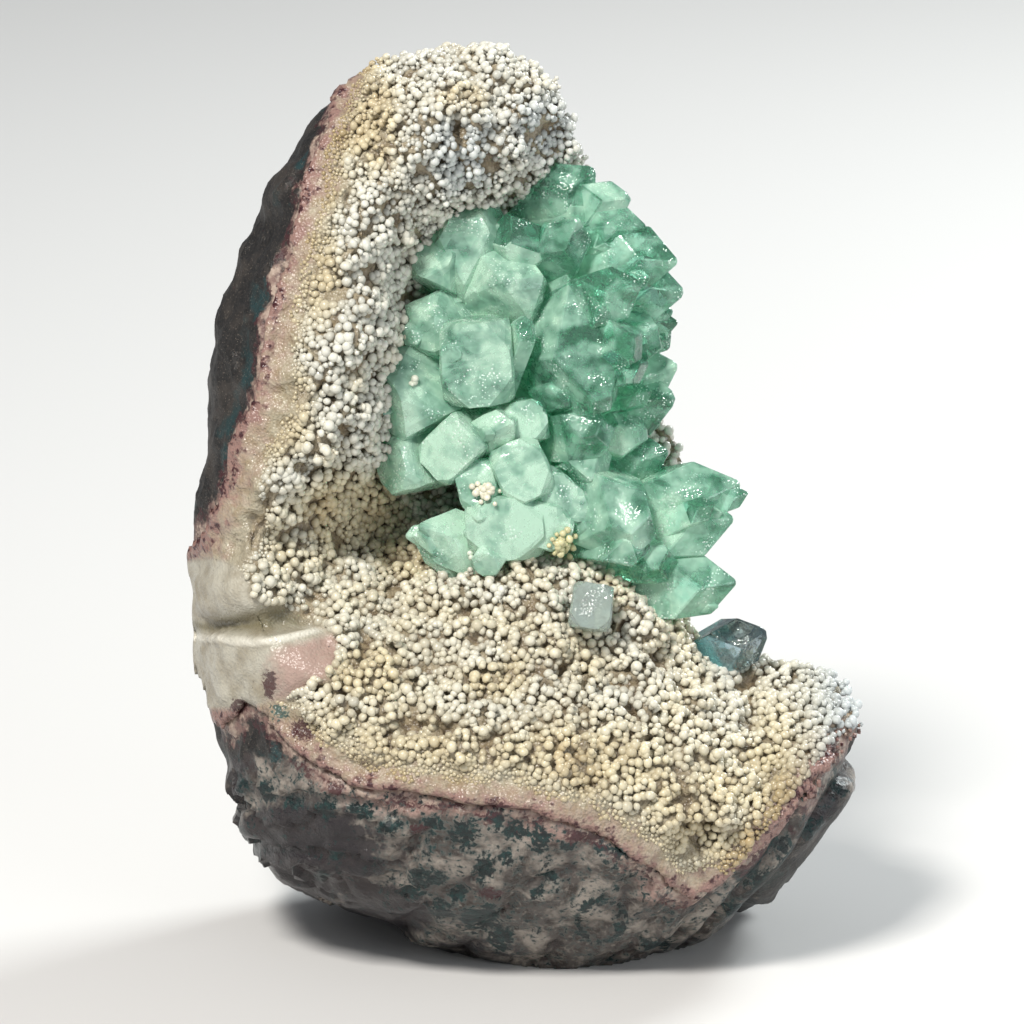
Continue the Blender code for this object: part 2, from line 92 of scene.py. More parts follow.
def noiseOf(points, size, shift=0.0):  # one smooth noise value for each point, size in mm
    scaled = np.asarray(points) * 1000 / size + shift
    return np.array([noise.noise(p) for p in scaled.tolist()])


def cellsOf(points, size, shift=0.0):  # distance to the nearest cell middle and to the next one
    scaled = np.asarray(points) * 1000 / size + shift
    both = [noise.voronoi(p)[0][:2] for p in scaled.tolist()]
    return np.array(both)


def spots(across, up, places):  # 1 in the middle of each soft oval spot, 0 outside them all
    total = np.zeros(across.shape)
    for a, u, wide, high, *strength in places:
        far = np.hypot((across - a) / wide, (up - u) / high)
        total = np.maximum(total, smooth(1.15, 0.35, far) * (strength[0] if strength else 1))
    return total


# meshes


def triplesOf(items, name):
    flat = np.empty(len(items) * 3, np.float32)
    items.foreach_get(name, flat)
    return flat.reshape(-1, 3).astype(float)


def coordsOf(mesh):
    return triplesOf(mesh.vertices, "co")


def normalsOf(mesh):
    return triplesOf(mesh.vertex_normals, "vector")


def setCoords(mesh, coords):
    mesh.vertices.foreach_set("co", np.asarray(coords, np.float32).ravel())
    mesh.update()


def giveValues(mesh, domain="POINT", **values):  # numbers for the shader, one for each point or face
    for name, numbers in values.items():
        spot = mesh.attributes.new(name, "FLOAT", domain)
        spot.data.foreach_set("value", np.asarray(numbers, np.float32))


def intoScene(name, data):
    thing = bpy.data.objects.new(name, data)
    scene.collection.objects.link(thing)
    return thing


def settle(piece):  # what its modifiers give becomes the piece's own mesh
    graph = bpy.context.evaluated_depsgraph_get()
    mesh = bpy.data.meshes.new_from_object(piece.evaluated_get(graph))
    piece.modifiers.clear()
    piece.data = mesh
    mesh.materials.clear()


def denseCopy(nodeName, name, voxel, rounds):  # a solid with a fine, even skin and its facets softened
    mesh = frame["nodes"][nodeName].data.copy()
    work = bmesh.new()
    work.from_mesh(mesh)
    bmesh.ops.remove_doubles(work, verts=work.verts, dist=2e-6)
    work.to_mesh(mesh)
    work.free()
    piece = intoScene(name, mesh)
    remesh = piece.modifiers.new("even skin", "REMESH")
    remesh.mode = "VOXEL"
    remesh.voxel_size = voxel / 1000
    soften = piece.modifiers.new("soften facets", "SMOOTH")
    soften.factor = 0.5
    soften.iterations = rounds
    settle(piece)
    piece.data.polygons.foreach_set("use_smooth", [True] * len(piece.data.polygons))
    return piece


def treeOf(mesh):
    corners = coordsOf(mesh)
    return BVHTree.FromPolygons(corners.tolist(), [list(f.vertices) for f in mesh.polygons])


def farFrom(nodeName, points):  # millimetres from each point to a solid
    tree = treeOf(frame["nodes"][nodeName].data)
    return np.array([tree.find_nearest(Vector(p))[3] for p in points.tolist()]) * 1000


def joinedBalls(name, template, places, outs, sizes, stretches, tints, wides=None):
    # copies of one ball in one mesh, each turned to point out of what it grows on
    points, faces = template
    count, corners = len(places), len(points)
    outs = outs / np.linalg.norm(outs, axis=1, keepdims=True)
    helper = np.where(np.abs(outs[:, 2:3]) < 0.9, [[0, 0, 1.0]], [[1.0, 0, 0]])
    sides = np.cross(outs, helper)
    sides /= np.linalg.norm(sides, axis=1, keepdims=True)
    fronts = np.cross(outs, sides)
    wides = sizes[:, None] * (np.ones((count, 2)) if wides is None else wides)
    coords = (places[:, None]
              + sides[:, None] * (points[None, :, :1] * wides[:, :1, None])
              + fronts[:, None] * (points[None, :, 1:2] * wides[:, 1:, None])
              + outs[:, None] * (points[None, :, 2:] * (sizes * stretches)[:, None, None]))
    allFaces = (faces[None] + (np.arange(count) * corners)[:, None, None]).reshape(-1, 3)
    mesh = bpy.data.meshes.new(name)
    mesh.vertices.add(count * corners)
    mesh.loops.add(len(allFaces) * 3)
    mesh.polygons.add(len(allFaces))
    mesh.vertices.foreach_set("co", coords.astype(np.float32).ravel())
    mesh.loops.foreach_set("vertex_index", allFaces.ravel().astype(np.int32))
    mesh.polygons.foreach_set("loop_start", np.arange(0, len(allFaces) * 3, 3, dtype=np.int32))
    mesh.polygons.foreach_set("use_smooth", np.ones(len(allFaces), bool))
    mesh.update(calc_edges=True)
    colour = mesh.attributes.new("tint", "FLOAT_COLOR", "POINT")
    rgba = np.repeat(np.column_stack([tints, np.ones(count)]), corners, axis=0)
    colour.data.foreach_set("color", rgba.astype(np.float32).ravel())
    return intoScene(name, mesh)


def ballTemplate(rounds):  # a ball whose hidden underside is drawn in to one point
    work = bmesh.new()
    bmesh.ops.create_icosphere(work, subdivisions=rounds, radius=1)
    bmesh.ops.pointmerge(work, verts=[v for v in work.verts if v.co.z < -0.4], merge_co=(0, 0, -0.8))
    points = np.array([v.co for v in work.verts])
    faces = np.array([[v.index for v in f.verts] for f in work.faces])
    work.free()
    return points, faces


# shader helpers


bench = {"tree": None}  # the nodes of the finish that is being made


def newMaterial(name):
    material = bpy.data.materials.new(name)
    material.use_nodes = True
    bench["tree"] = material.node_tree
    return material, material.node_tree.nodes["Principled BSDF"]


def feed(node, inputs):  # links what varies, and sets on the socket what doesn't
    for name, value in inputs.items():
        if isinstance(value, bpy.types.NodeSocket):
            node.id_data.links.new(value, node.inputs[name])
        else:
            node.inputs[name].default_value = value


def put(kind, inputs, out=0, **settings):
    node = bench["tree"].nodes.new("ShaderNode" + kind)
    for name, value in settings.items():
        setattr(node, name, value)
    feed(node, inputs)
    return node.outputs[out]


def place():  # the piece's own coordinates, one node for each finish
    nodes = bench["tree"].nodes
    node = nodes.get("place")
    if not node:
        node = nodes.new("ShaderNodeTexCoord")
        node.name = "place"
    return node.outputs["Object"]


def grain(size, detail, rough=0.55, twist=0.0):  # noise with features this many mm long
    return put("TexNoise", {"Vector": place(), "Scale": 1000 / size, "Detail": detail,
                            "Roughness": rough, "Distortion": twist})


def cells(size):
    return put("TexVoronoi", {"Vector": place(), "Scale": 1000 / size})


def reading(name, out=2):
    return put("Attribute", {}, out, attribute_name=name)


def readings(*names):
    return [reading(name) for name in names]


def band(value, low, high, bottom=0.0, top=1.0):  # stretches low..high to bottom..top
    return put("MapRange", {"Value": value, "From Min": low, "From Max": high,
                            "To Min": bottom, "To Max": top})


def sums(how, a, b):
    return put("Math", {0: a, 1: b}, operation=how)


def times(a, b):
    return sums("MULTIPLY", a, b)


def frayed(value, texture, reach, low=0.3, high=0.7):  # pushed up and down to make its edges ragged
    return sums("ADD", value, band(texture, low, high, -reach, reach))


def mixed(share, a, b, how="MIX"):
    a, b = ((*side, 1) if isinstance(side, tuple) else side for side in (a, b))
    return put("Mix", {0: share, 6: a, 7: b}, 2, data_type="RGBA", blend_type=how)


def blend(value, low, high, a, b, most=1.0):  # from a to b as the value goes from low to high
    return mixed(band(value, low, high, 0, most), a, b)


def raised(height, depth, under=None):  # bump this many mm deep
    inputs = {"Height": height, "Distance": depth / 1000, "Strength": 1.0}
    if under:
        inputs["Normal"] = under
    return put("Bump", inputs)


# camera, floor and light

camera = intoScene("camera", bpy.data.cameras.new("camera"))
camera.data.sensor_width = look["sensor"]
camera.data.lens = look["sensor"] * look["distance"] / look["width"]
towardsViewer = Vector((0, -tiltCos, tiltSin))
camera.location = seen(*look["middle"]) + towardsViewer * look["distance"] / 1000
camera.rotation_euler = (-towardsViewer).to_track_quat("-Z", "Y").to_euler()
camera.data.clip_start, camera.data.clip_end = 0.1, 20
scene.camera = camera

studio = {
    "floor": (0.62, 0.61, 0.60),
    "floorReach": 4,        # metres each way
    "floorRough": 0.8,
    "aim": (0, 85, -30),    # what the lights point at
    "lights": {     # place in metres, size, power, colour
        "key light": ((-0.45, -0.85, 1.2), 0.32, 27, (1, 0.97, 0.92)),
        "fill light": ((1.0, -1.1, 0.45), 0.8, 6, (0.9, 0.96, 1)),
        "back light": ((0.7, 0.7, 0.8), 0.4, 14, (0.95, 1, 1)),
    },
    "sky": (0.86, 0.9, 0.95),
    "skyStrength": 0.3,
}
floorMesh = bpy.data.meshes.new("floor")
far = studio["floorReach"]
floorMesh.from_pydata([(-far, -far, 0), (far, -far, 0), (far, far, 0), (-far, far, 0)], [], [(0, 1, 2, 3)])
floor = intoScene("floor", floorMesh)
floorFinish, floorShader = newMaterial("floor")
feed(floorShader, {"Base Color": (*studio["floor"], 1), "Roughness": studio["floorRough"]})
floor.data.materials.append(floorFinish)
for lightName, (spot, size, power, colour) in studio["lights"].items():
    lamp = bpy.data.lights.new(lightName, "AREA")
    lamp.size, lamp.energy, lamp.color = size, power, colour
    light = intoScene(lightName, lamp)
    light.location = spot
    light.rotation_euler = (seen(*studio["aim"]) - Vector(spot)).to_track_quat("-Z", "Y").to_euler()
world = bpy.data.worlds.new("studio")
scene.world = world
world.use_nodes = True
sky = {"Color": (*studio["sky"], 1), "Strength": studio["skyStrength"]}
feed(world.node_tree.nodes["Background"], sky)
scene.view_settings.view_transform = "Standard"
print("studio set")

# the rock

rock = {
    "voxel": 1.15,          # size of its faces, mm
    "swell": ((9, 0.6), (4, 0.35), (2.1, 0.18)),    # (size, height) of its bumps, mm
    "ridges": {"spacing": 4.9, "height": 3.0, "lean": (0.811, -0.585)},
    "folds": {"spacing": 11, "height": 1.7, "lean": (0.64, -0.77)},
    "ledges": {"spacing": 5.2, "height": 1.9},
    "lumps": {"size": 9.5, "height": 0.4, "crack": 0.8},
    "splinters": {"size": 5, "depth": 1.8},     # of the left side and back
    "chips": {"size": 13, "height": 1.5},
    # colours
    "basalt": ((0.005, 0.005, 0.005), (0.022, 0.018, 0.016), (0.045, 0.037, 0.031)),    # black to worn
    "celadonite": ((0.0015, 0.007, 0.008), (0.008, 0.036, 0.034)),
    # the agate's colours are kept dark, partly as painted shade over the whole foot
    "agate": ((0.030, 0.022, 0.018), (0.078, 0.066, 0.058), (0.27, 0.235, 0.20)),       # brown, grey, pale
    "pinkish": (0.33, 0.215, 0.18),
    "maroon": (0.045, 0.010, 0.013),
    "paintedShade": (0.012, 0.009, 0.012),
    "cracksAndShade": (0.03, 0.02, 0.02),
    "rind": ((0.17, 0.10, 0.085), (0.40, 0.31, 0.25)),      # beside the crust
    "halo": (0.075, 0.09, 0.083),       # round the celadonite
    "teal": (0.008, 0.034, 0.037),      # streaks over the rind
    "paintedGlint": (0.30, 0.25, 0.20),
    # where celadonite has grown: across, up, half width, half height and, where it isn't 1, strength
    "greens": [
        (-45.2, 34.2, 3, 2), (-38.5, 33, 3.2, 2.2), (-31.4, 32.6, 3.6, 2), (-26.8, 29.4, 3, 2),
        (-18.3, 30, 2.8, 2.3), (-11.6, 28.6, 3.6, 3.4), (-5.2, 31.2, 2, 1.5), (-2, 28.4, 2.8, 2),
        (3.1, 27.4, 3, 3.4), (8.8, 25.6, 2.6, 1.7), (16.1, 25.2, 2, 1.3), (19.2, 24.3, 1.6, 1.5),
        (-3.2, 23.3, 2.4, 1.5), (-7.8, 21.2, 2.8, 3.2), (-18.7, 19, 5, 2.6), (-22, 16.6, 3.4, 2.2),
        (-37.7, 23.7, 2.2, 1.8), (-40.6, 18.6, 2.2, 1.4), (-16.2, 12.4, 3.6, 2.6), (-12.8, 15.7, 2, 2.4),
        (-8.2, 11, 5.4, 4.4), (-4.4, 6.8, 3.2, 3.2), (-56.2, 38, 1.6, 2.6), (-50.7, 35.9, 2.2, 2.4),
        (4.8, 19.1, 2.4, 1.2), (2.2, 16.1, 1.2, 1.8), (24.4, 5.7, 1.4, 0.9), (27, 4.8, 3.2, 1.4),
        (51.3, 25.6, 2.2, 2.2), (63, 37.8, 1.8, 5), (58.5, 28, 4, 3), (48.6, 18.2, 5, 2.8),
        (43.4, 12, 3.6, 2), (-48.4, 52, 3, 2.4, 0.8), (-56, 22, 5, 8, 0.7)],
    "ring": ((15.3, 10.3), 4.5, 0.9),       # a ring of it: middle, radius, width
    "maroons": [
        (-36.8, 36.8, 1.8, 2.4), (-5.6, 34.4, 2.4, 1.6), (-20.4, 29.2, 2.4, 1.6), (-6.5, 16.6, 3.4, 1.8),
        (11.8, 27.6, 5, 1.6), (-50.1, 57.6, 2.2, 4.4), (-43.4, 48.6, 3.4, 3.2), (-56.3, 53, 2.4, 2.4),
        (-22, 34, 9, 1.2, 0.7), (62, 45, 1.6, 3, 0.7)],
    "pinks": [
        (-46, 58, 13, 10), (-20, 35, 20, 4), (8, 30, 14, 5), (30, 18, 10, 6), (-34, 39, 10, 4)],
    # darker spots, with the same columns as the greens: painted shade where the foot falls into shadow,
    # partly dark rock
    "darks": [
        (-44, 24, 21, 13, 1.4), (-28, 12, 13, 9, 1.2), (62, 26, 9, 16, 0.9), (-60, 38, 7, 12, 0.9),
        (-10, 4, 16, 4, 0.6)],
}


def alongLean(plan, across, up):
    return plan["lean"][0] * across + plan["lean"][1] * up


def rockRelief(coords, across, up, deep):
    lift = sum(height * noiseOf(coords, size, 7.3) for size, height in rock["swell"])
    front = smooth(10, -15, deep)
    # slanting ridges under the right end, fading into low folds under the middle
    ridges, folds = rock["ridges"], rock["folds"]
    slant = alongLean(ridges, across, up)
    turn = slant / ridges["spacing"] + 0.45 * noiseOf(coords, 15, 2.1)
    crest = np.abs(np.sin(turn * math.pi)) ** 0.8
    rightFoot = smooth(14, 28, slant) * smooth(58, 46, up)
    lift += ridges["height"] * (crest - 0.75) * (0.85 + 0.4 * noiseOf(coords, 9, 4.0)) * rightFoot
    turn = alongLean(folds, across, up) / folds["spacing"] + 0.5 * noiseOf(coords, 14, 5.5)
    wave = np.abs(np.sin(turn * math.pi)) ** 0.5
    foot = smooth(44, 36, up) * front
    lift += folds["height"] * (wave - 0.7) * foot * (1 - rightFoot) * smooth(-34, -20, across)
    # broken ledges under the left end
    ledges = rock["ledges"]
    level = up / ledges["spacing"] + 0.9 * noiseOf(coords, 11, 9.0) + 0.1 * across / ledges["spacing"]
    step = 1 - np.mod(level, 1)
    leftFoot = smooth(-14, -30, across) * smooth(44, 34, up)
    lift += ledges["height"] * (step - 0.5) * leftFoot
    # rounded lumps and cracks between them across the front of the foot
    lumps = rock["lumps"]
    near, other = cellsOf(coords * [1, 1, 1.3], lumps["size"], 1.7 + 0.12 * noiseOf(coords, 4)[:, None]).T
    crack = smooth(0.0, 0.1, other - near)
    broken = smooth(-0.1, 0.35, noiseOf(coords, 16, 3.0))
    lumpy = lumps["crack"] * (crack - 1) * broken + lumps["height"] * (0.5 - near)
    lift += lumpy * foot * (1 - 0.8 * rightFoot)
    # the broken basalt at the left and back is splintery and chipped
    splinters, chips = rock["splinters"], rock["chips"]
    lift -= splinters["depth"] * np.abs(noiseOf(coords * [1, 1, 0.45], splinters["size"], 3.3)) * (1 - foot)
    lift += chips["height"] * (0.45 - cellsOf(coords, chips["size"], 4.4)[:, 0]) * (1 - foot)
    return lift


def giveRockPatches(mesh, across, up, front):
    middle, radius, width = rock["ring"]
    ring = np.abs(np.hypot(across - middle[0], up - middle[1]) - radius) / width
    greens = np.maximum(spots(across, up, rock["greens"]), 0.9 * smooth(1.2, 0.3, ring))
    giveValues(mesh, green=greens * front,
               maroon=spots(across, up, rock["maroons"]) * front,
               pink=spots(across, up, rock["pinks"]) * front,
               dark=spots(across, up, rock["darks"]) * front)


def makeRock():
    piece = denseCopy("basalt_matrix", "basalt_rock", rock["voxel"], 2)
    coords = coordsOf(piece.data)
    across, up, deep = asSeen(coords)
    lift = rockRelief(coords, across, up, deep)
    flat = coords[:, 2] < 0.0006
    away = farFrom("chalcedony_crust", coords)
    lift *= smooth(0.8, 2.5, away)  # nothing pushes into the crust's bed
    lift[flat] = 0
    moved = coords + normalsOf(piece.data) * lift[:, None] / 1000
    moved[:, 2] = np.maximum(moved[:, 2], 0)
    moved[flat, 2] = 0
    setCoords(piece.data, moved)
    front = smooth(12, -12, deep)
    # faces that look down at the right end get less agate and so the dark basalt colour: painted shade under
    # the foot
    under = smooth(34, 50, across) * smooth(0.25, -0.25, normalsOf(piece.data)[:, 2] + 0.25)
    agate = smooth(46, 40, up) * front * smooth(-66, -54, across) * (1 - 0.8 * under)
    agate = np.maximum(agate, spots(across, up, rock["pinks"]) * front)
    giveValues(piece.data, away=away, agate=agate, hollows=-lift)
    giveRockPatches(piece.data, across, up, front)
    return piece


def rockFinish():
    material, shader = newMaterial("broken basalt")
    fine, middle, wide = grain(0.5, 4), grain(2.6, 6), grain(8, 5, 0.6, 0.4)
    away, agate, hollows = readings("away", "agate", "hollows")
    green, maroon, pink, dark = readings("green", "maroon", "pink", "dark")
    black, plain, worn = rock["basalt"]
    basalt = blend(fine, 0.42, 0.7, black, plain)
    basalt = blend(wide, 0.48, 0.62, basalt, worn, 0.6)
    # grey-pink agate of the foot: brown, grey and pale patches, with painted shade darkening its hollows and
    # its cracks
    brown, grey, pale = rock["agate"]
    body = blend(middle, 0.40, 0.54, brown, grey)
    body = blend(wide, 0.47, 0.60, body, pale)
    body = blend(grain(1.3, 4), 0.58, 0.68, body, pale, 0.5)
    body = blend(frayed(pink, middle, 0.3), 0.25, 0.8, body, rock["pinkish"], 0.8)
    # painted shade darkens the foot in those spots, over partly dark rock
    body = blend(frayed(dark, middle, 0.4), 0.3, 0.8, body, rock["paintedShade"], 0.93)
    body = blend(hollows, 0.2, 1.1, body, rock["cracksAndShade"], 0.85)
    # the agate thins out raggedly into the basalt
    edge = frayed(agate, grain(4, 6), 0.35)
    colour = blend(edge, 0.42, 0.58, basalt, body)
    # rind beside the crust
    rind = blend(middle, 0.4, 0.6, *rock["rind"])
    colour = blend(frayed(away, grain(3, 5), 2.2), 3.0, 1.8, colour, rind)
    # celadonite in ragged patches, each in a dull halo, and a few stray specks of it
    clots = sums("ADD", grain(3.4, 7, 0.66, 1.0), grain(1.1, 4, 0.6))
    stain = frayed(green, clots, 0.85, 0.75, 1.25)
    agateOnly = band(sums("SUBTRACT", agate, dark), 0.1, 0.6)
    halo = times(band(stain, 0.0, 0.45, 0, 0.7), agateOnly)
    colour = mixed(halo, colour, rock["halo"])
    celadonite = blend(grain(1.2, 4), 0.4, 0.7, *rock["celadonite"])
    patches = times(band(stain, 0.42, 0.62), band(agate, 0.2, 0.5))
    specks = times(band(grain(3.2, 6, 0.6, 0.6), 0.64, 0.67), band(edge, 0.4, 0.6))
    for share in (patches, specks):
        colour = mixed(share, colour, celadonite)
    # teal streaks and a maroon seam where the crust's rind meets the basalt
    rim = frayed(away, grain(2.2, 6, 0.65), 2.4)
    teal = times(band(rim, 3.4, 4.4), band(rim, 10, 6))
    teal = times(teal, band(grain(10, 3), 0.5, 0.56))
    teal = times(teal, band(edge, 0.6, 0.4))
    colour = mixed(times(teal, band(fine, 0.3, 0.6, 0.4, 1)), colour, rock["teal"])
    seam = times(band(rim, 1.6, 2.2), band(rim, 4.0, 2.9))
    seam = times(seam, band(grain(4.5, 4), 0.42, 0.56))
    colour = mixed(times(seam, 0.9), colour, rock["maroon"])
    dendrites = frayed(maroon, grain(1.3, 7, 0.7, 1.2), 0.7)
    colour = blend(dendrites, 0.5, 0.75, colour, rock["maroon"], 0.9)
    # painted glints: little brown and silvery specks painted lighter into the basalt's colour
    paintedGlint = times(band(cells(0.5), 0.18, 0.12), band(agate, 0.5, 0.2))
    colour = mixed(times(paintedGlint, 0.6), colour, rock["paintedGlint"])
    rough = band(agate, 0.2, 0.7, 0.5, 0.27)
    bumps = raised(middle, 0.6, raised(fine, 0.16))
    feed(shader, {"Base Color": colour, "Roughness": rough, "Normal": bumps})
    return material


rockPiece = makeRock()
rockPiece.data.materials.append(rockFinish())
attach(rockPiece, "root")
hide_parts("basalt_matrix")
print("rock", len(rockPiece.data.polygons), "faces")

# the crust of grape-like balls

crust = {
    "edge": [(-35, 190), (-34.6, 179), (-38.6, 168), (-42, 156), (-45, 147), (-50, 130), (-52, 116),
             (-55.5, 106), (-59, 96), (-63.5, 85), (-72, 80), (-72, 56), (-57, 55), (-46, 46), (-36, 39),
             (-14, 35), (2, 33), (16, 28), (26, 20), (33, 15.5), (42, 20), (53, 34), (62, 46), (72, 50),
             (76, 100), (40, 180), (0, 200)],       # where it meets the rock: across and up
    "voxel": 0.95,              # size of the bed's faces under the balls, mm
    "ball": 0.98,               # radius, mm
    "spread": (0.7, 1.2),       # smallest and largest, as shares of that
    "wobble": (0.84, 1.16),     # how far from round they are across
    "closeness": 0.59,          # below 1 the balls grow into each other
    "rim": 4.2,                 # width of the sugary rim without balls, mm
    "wideRims": [
        (-59, 88, 12, 12, 8), (-46, 112, 8, 14, 3), (-50, 48, 10, 8, 4)],     # wider here
    "swell": ((13, 1.6), (6, 1.3)),     # (size, height) of the lumps that they stand on
    "bunches": (4.8, 1.5),      # size and height of the bunches that they stand in
    "gaps": 0.3,                # lower makes more gaps between the bunches
    "tries": 170000,            # places that are tried for a ball
    "bigFrom": 0.72,            # radius of the smallest ball that gets a fine mesh, mm
    # gaps and pits between the lumps: across, up, half width, half height, depth
    "hollows": [
        (-24.6, 142, 3.4, 8.5, 4.2), (-23.2, 91, 4.5, 3.5, 3.4), (-33, 92, 11, 13, 3.6),
        (-13.6, 163, 3.2, 8, 3.0), (1.4, 159.6, 3.5, 2.6, 3.0), (-5.6, 170, 4.5, 3, 2.6),
        (7.4, 54, 5.5, 2.2, 2.2), (27.4, 45, 5, 2.4, 2.4), (35.4, 28, 4.5, 3.2, 2.6),
        (10, 61, 4, 1.6, 2.2), (-15.4, 50.4, 3, 1.8, 2.2), (-5, 52, 3.4, 1.6, 2.0),
        (11.6, 38.6, 4, 2.4, 2.4), (-29, 118, 2.5, 4, 2.6), (-37, 114, 6, 1.6, 3.4),
        (22, 52, 3, 1.6, 1.8), (41, 47, 3.4, 1.8, 1.8), (-20, 108, 3, 6, 3.0)],
    # tan and yellowish parts, and bluish ones
    "warm": [
        (-30, 168, 7, 12), (-40, 140, 6, 14), (-47, 112, 7, 12), (-34, 92, 14, 12), (-24, 82, 9, 6),
        (8, 43, 26, 8), (30, 30, 12, 10), (-12, 172, 6, 5), (-30, 60, 12, 8), (-5, 58, 10, 6)],
    "cool": [(-12, 163, 9, 12), (4, 168, 9, 9)],
    "colours": [(0.62, 0.61, 0.54), (0.60, 0.53, 0.37), (0.43, 0.33, 0.18)],    # white, cream, tan
    "bluish": (0.50, 0.54, 0.55),
    "sheenFleck": (0.75, 0.72, 0.66),
    # colours of the bed: its sugary rim, between the balls where its tan is darkened as painted shade, and
    # towards the rock
    "sugar": ((0.32, 0.285, 0.21), (0.26, 0.20, 0.115)),
    "paleSugar": (0.45, 0.41, 0.31),
    "between": ((0.11, 0.08, 0.05), (0.30, 0.24, 0.15)),
    "pinkish": (0.33, 0.23, 0.19),
    "rusty": (0.26, 0.15, 0.13),
    "teal": (0.02, 0.075, 0.07),
    # and of the smooth part
    "milk": ((0.43, 0.405, 0.335), (0.29, 0.255, 0.19)),
    "pinkMilk": (0.37, 0.26, 0.22),
    "groove": (0.15, 0.13, 0.075),
    "lip": (0.72, 0.69, 0.60),
    "seed": 5,
}


def insideEdge(across, up):  # millimetres in from the crust's edge, negative outside it
    corners = np.array(crust["edge"], float)
    nearest = np.full(across.shape, 1e9)
    inside = np.zeros(across.shape, bool)
    for a, b in zip(corners, np.roll(corners, -1, axis=0)):
        run = b - a
        t = np.clip(((across - a[0]) * run[0] + (up - a[1]) * run[1]) / (run @ run), 0, 1)
        nearest = np.minimum(nearest, np.hypot(across - a[0] - t * run[0], up - a[1] - t * run[1]))
        crosses = (a[1] > up) != (b[1] > up)
        level = run[1] if run[1] else 1e-9
        inside ^= crosses & (across < a[0] + (up - a[1]) * run[0] / level)
    return np.where(inside, nearest, -nearest)


def smoothPart(across, up):  # the banded, smooth part of the crust at the left
    ledge = smooth(1.15, 0.85, np.hypot((across + 66) / 29, (up - 64) / 11.5))
    boss = smooth(1.2, 0.8, np.hypot((across + 63) / 9, (up - 76) / 6))
    return np.maximum(ledge, boss)


def stepLine(coords, across):  # how high the step of the smooth part runs
    return 66.4 - 0.06 * (across + 65) + 0.011 * np.maximum(across + 58, 0) ** 2 + 0.5 * noiseOf(coords, 8, 4)


def grooveShare(across, above):  # 1 in the middle of the groove over the step, which widens to the right
    wide = smooth(-64, -46, across)
    return np.exp(-((above - 2.6 - 2.2 * wide) / (1.2 + 1.8 * wide)) ** 2)


def smoothRelief(coords, across, up):  # a boss, a groove under it and a sharp step down to the lower mass
    boss = 1.8 * smooth(1.3, 0.4, np.hypot((across + 62.5) / 8, (up - 75.5) / 4.4))
    above = up - stepLine(coords, across)
    lip = 1.3 * np.exp(-((above - 0.2) / 0.8) ** 2)
    lower = 0.9 * smooth(0, -2, above) + 0.8 * noiseOf(coords, 6, 2) * smooth(-2, -5, above)
    return boss - 3.2 * grooveShare(across, above) + lip + lower + 0.3 * noiseOf(coords, 3, 6)


def bunching(points):  # high where the balls stand up in bunches, low in the gaps
    return noiseOf(points, crust["bunches"][0], 31) + 0.5 * noiseOf(points, 2.4, 14)


def makeCrustBed():
    piece = denseCopy("chalcedony_crust", "crust_bed", crust["voxel"], 3)
    mesh = piece.data
    coords = coordsOf(mesh)
    across, up, _ = asSeen(coords)
    offRock = farFrom("basalt_matrix", coords)
    face = smooth(1.6, 2.6, offRock)  # 1 on the open face, 0 underneath
    inside = insideEdge(across, up)
    bare = smoothPart(across, up)
    lumps = sum(height * noiseOf(coords, size, size) for size, height in crust["swell"])
    gap = smooth(-crust["gaps"] + 0.1, -crust["gaps"] - 0.15, bunching(coords)) * smooth(3, 8, inside)
    lift = -0.9 + lumps - 1.2 * gap
    for hollow in crust["hollows"]:
        lift -= hollow[4] * spots(across, up, [hollow[:4]])
    lift = lift * smooth(1, 7, inside) * (1 - bare) + bare * smoothRelief(coords, across, up)
    sugar = 0.55 * noiseOf(coords, 1.9, 3) + 0.5 * noiseOf(coords, 4, 8)
    lift = np.maximum(lift + sugar * (1 - 0.7 * bare), 1.8 - offRock)
    lift = lift * face + 0.5 * (1 - face)  # its underside fills the crack beside the rock
    moved = coords + normalsOf(mesh) * lift[:, None] / 1000
    setCoords(mesh, moved)
    across, up, _ = asSeen(moved)
    above = up - stepLine(coords, across)
    giveValues(mesh, inside=inside, bare=bare, groove=grooveShare(across, above),
               lip=np.exp(-((above - 0.1) / 0.9) ** 2),
               pink=smooth(-54, -46, across) * smooth(0, -3, above),
               maroon=spots(across, up, rock["maroons"]),
               green=spots(across, up, rock["greens"]),
               warm=crustWarmth(moved, across, up, inside),
               gap=np.maximum(gap, spots(across, up, [h[:4] for h in crust["hollows"]])))
    return piece


def crustWarmth(coords, across, up, inside):  # how tan the crust is at a place, 0 to 1
    warm = smooth(9, 1, inside + 2 * noiseOf(coords, 8, 1))
    warm = np.maximum(warm, 0.6 * spots(across, up, crust["warm"]))
    warm = np.maximum(warm, 0.25 * smooth(96, 84, up) + 0.2 * smooth(56, 42, up))
    return np.clip(warm + 0.3 * noiseOf(coords, 9, 12) + 0.1 * noiseOf(coords, 3, 2), 0, 1)


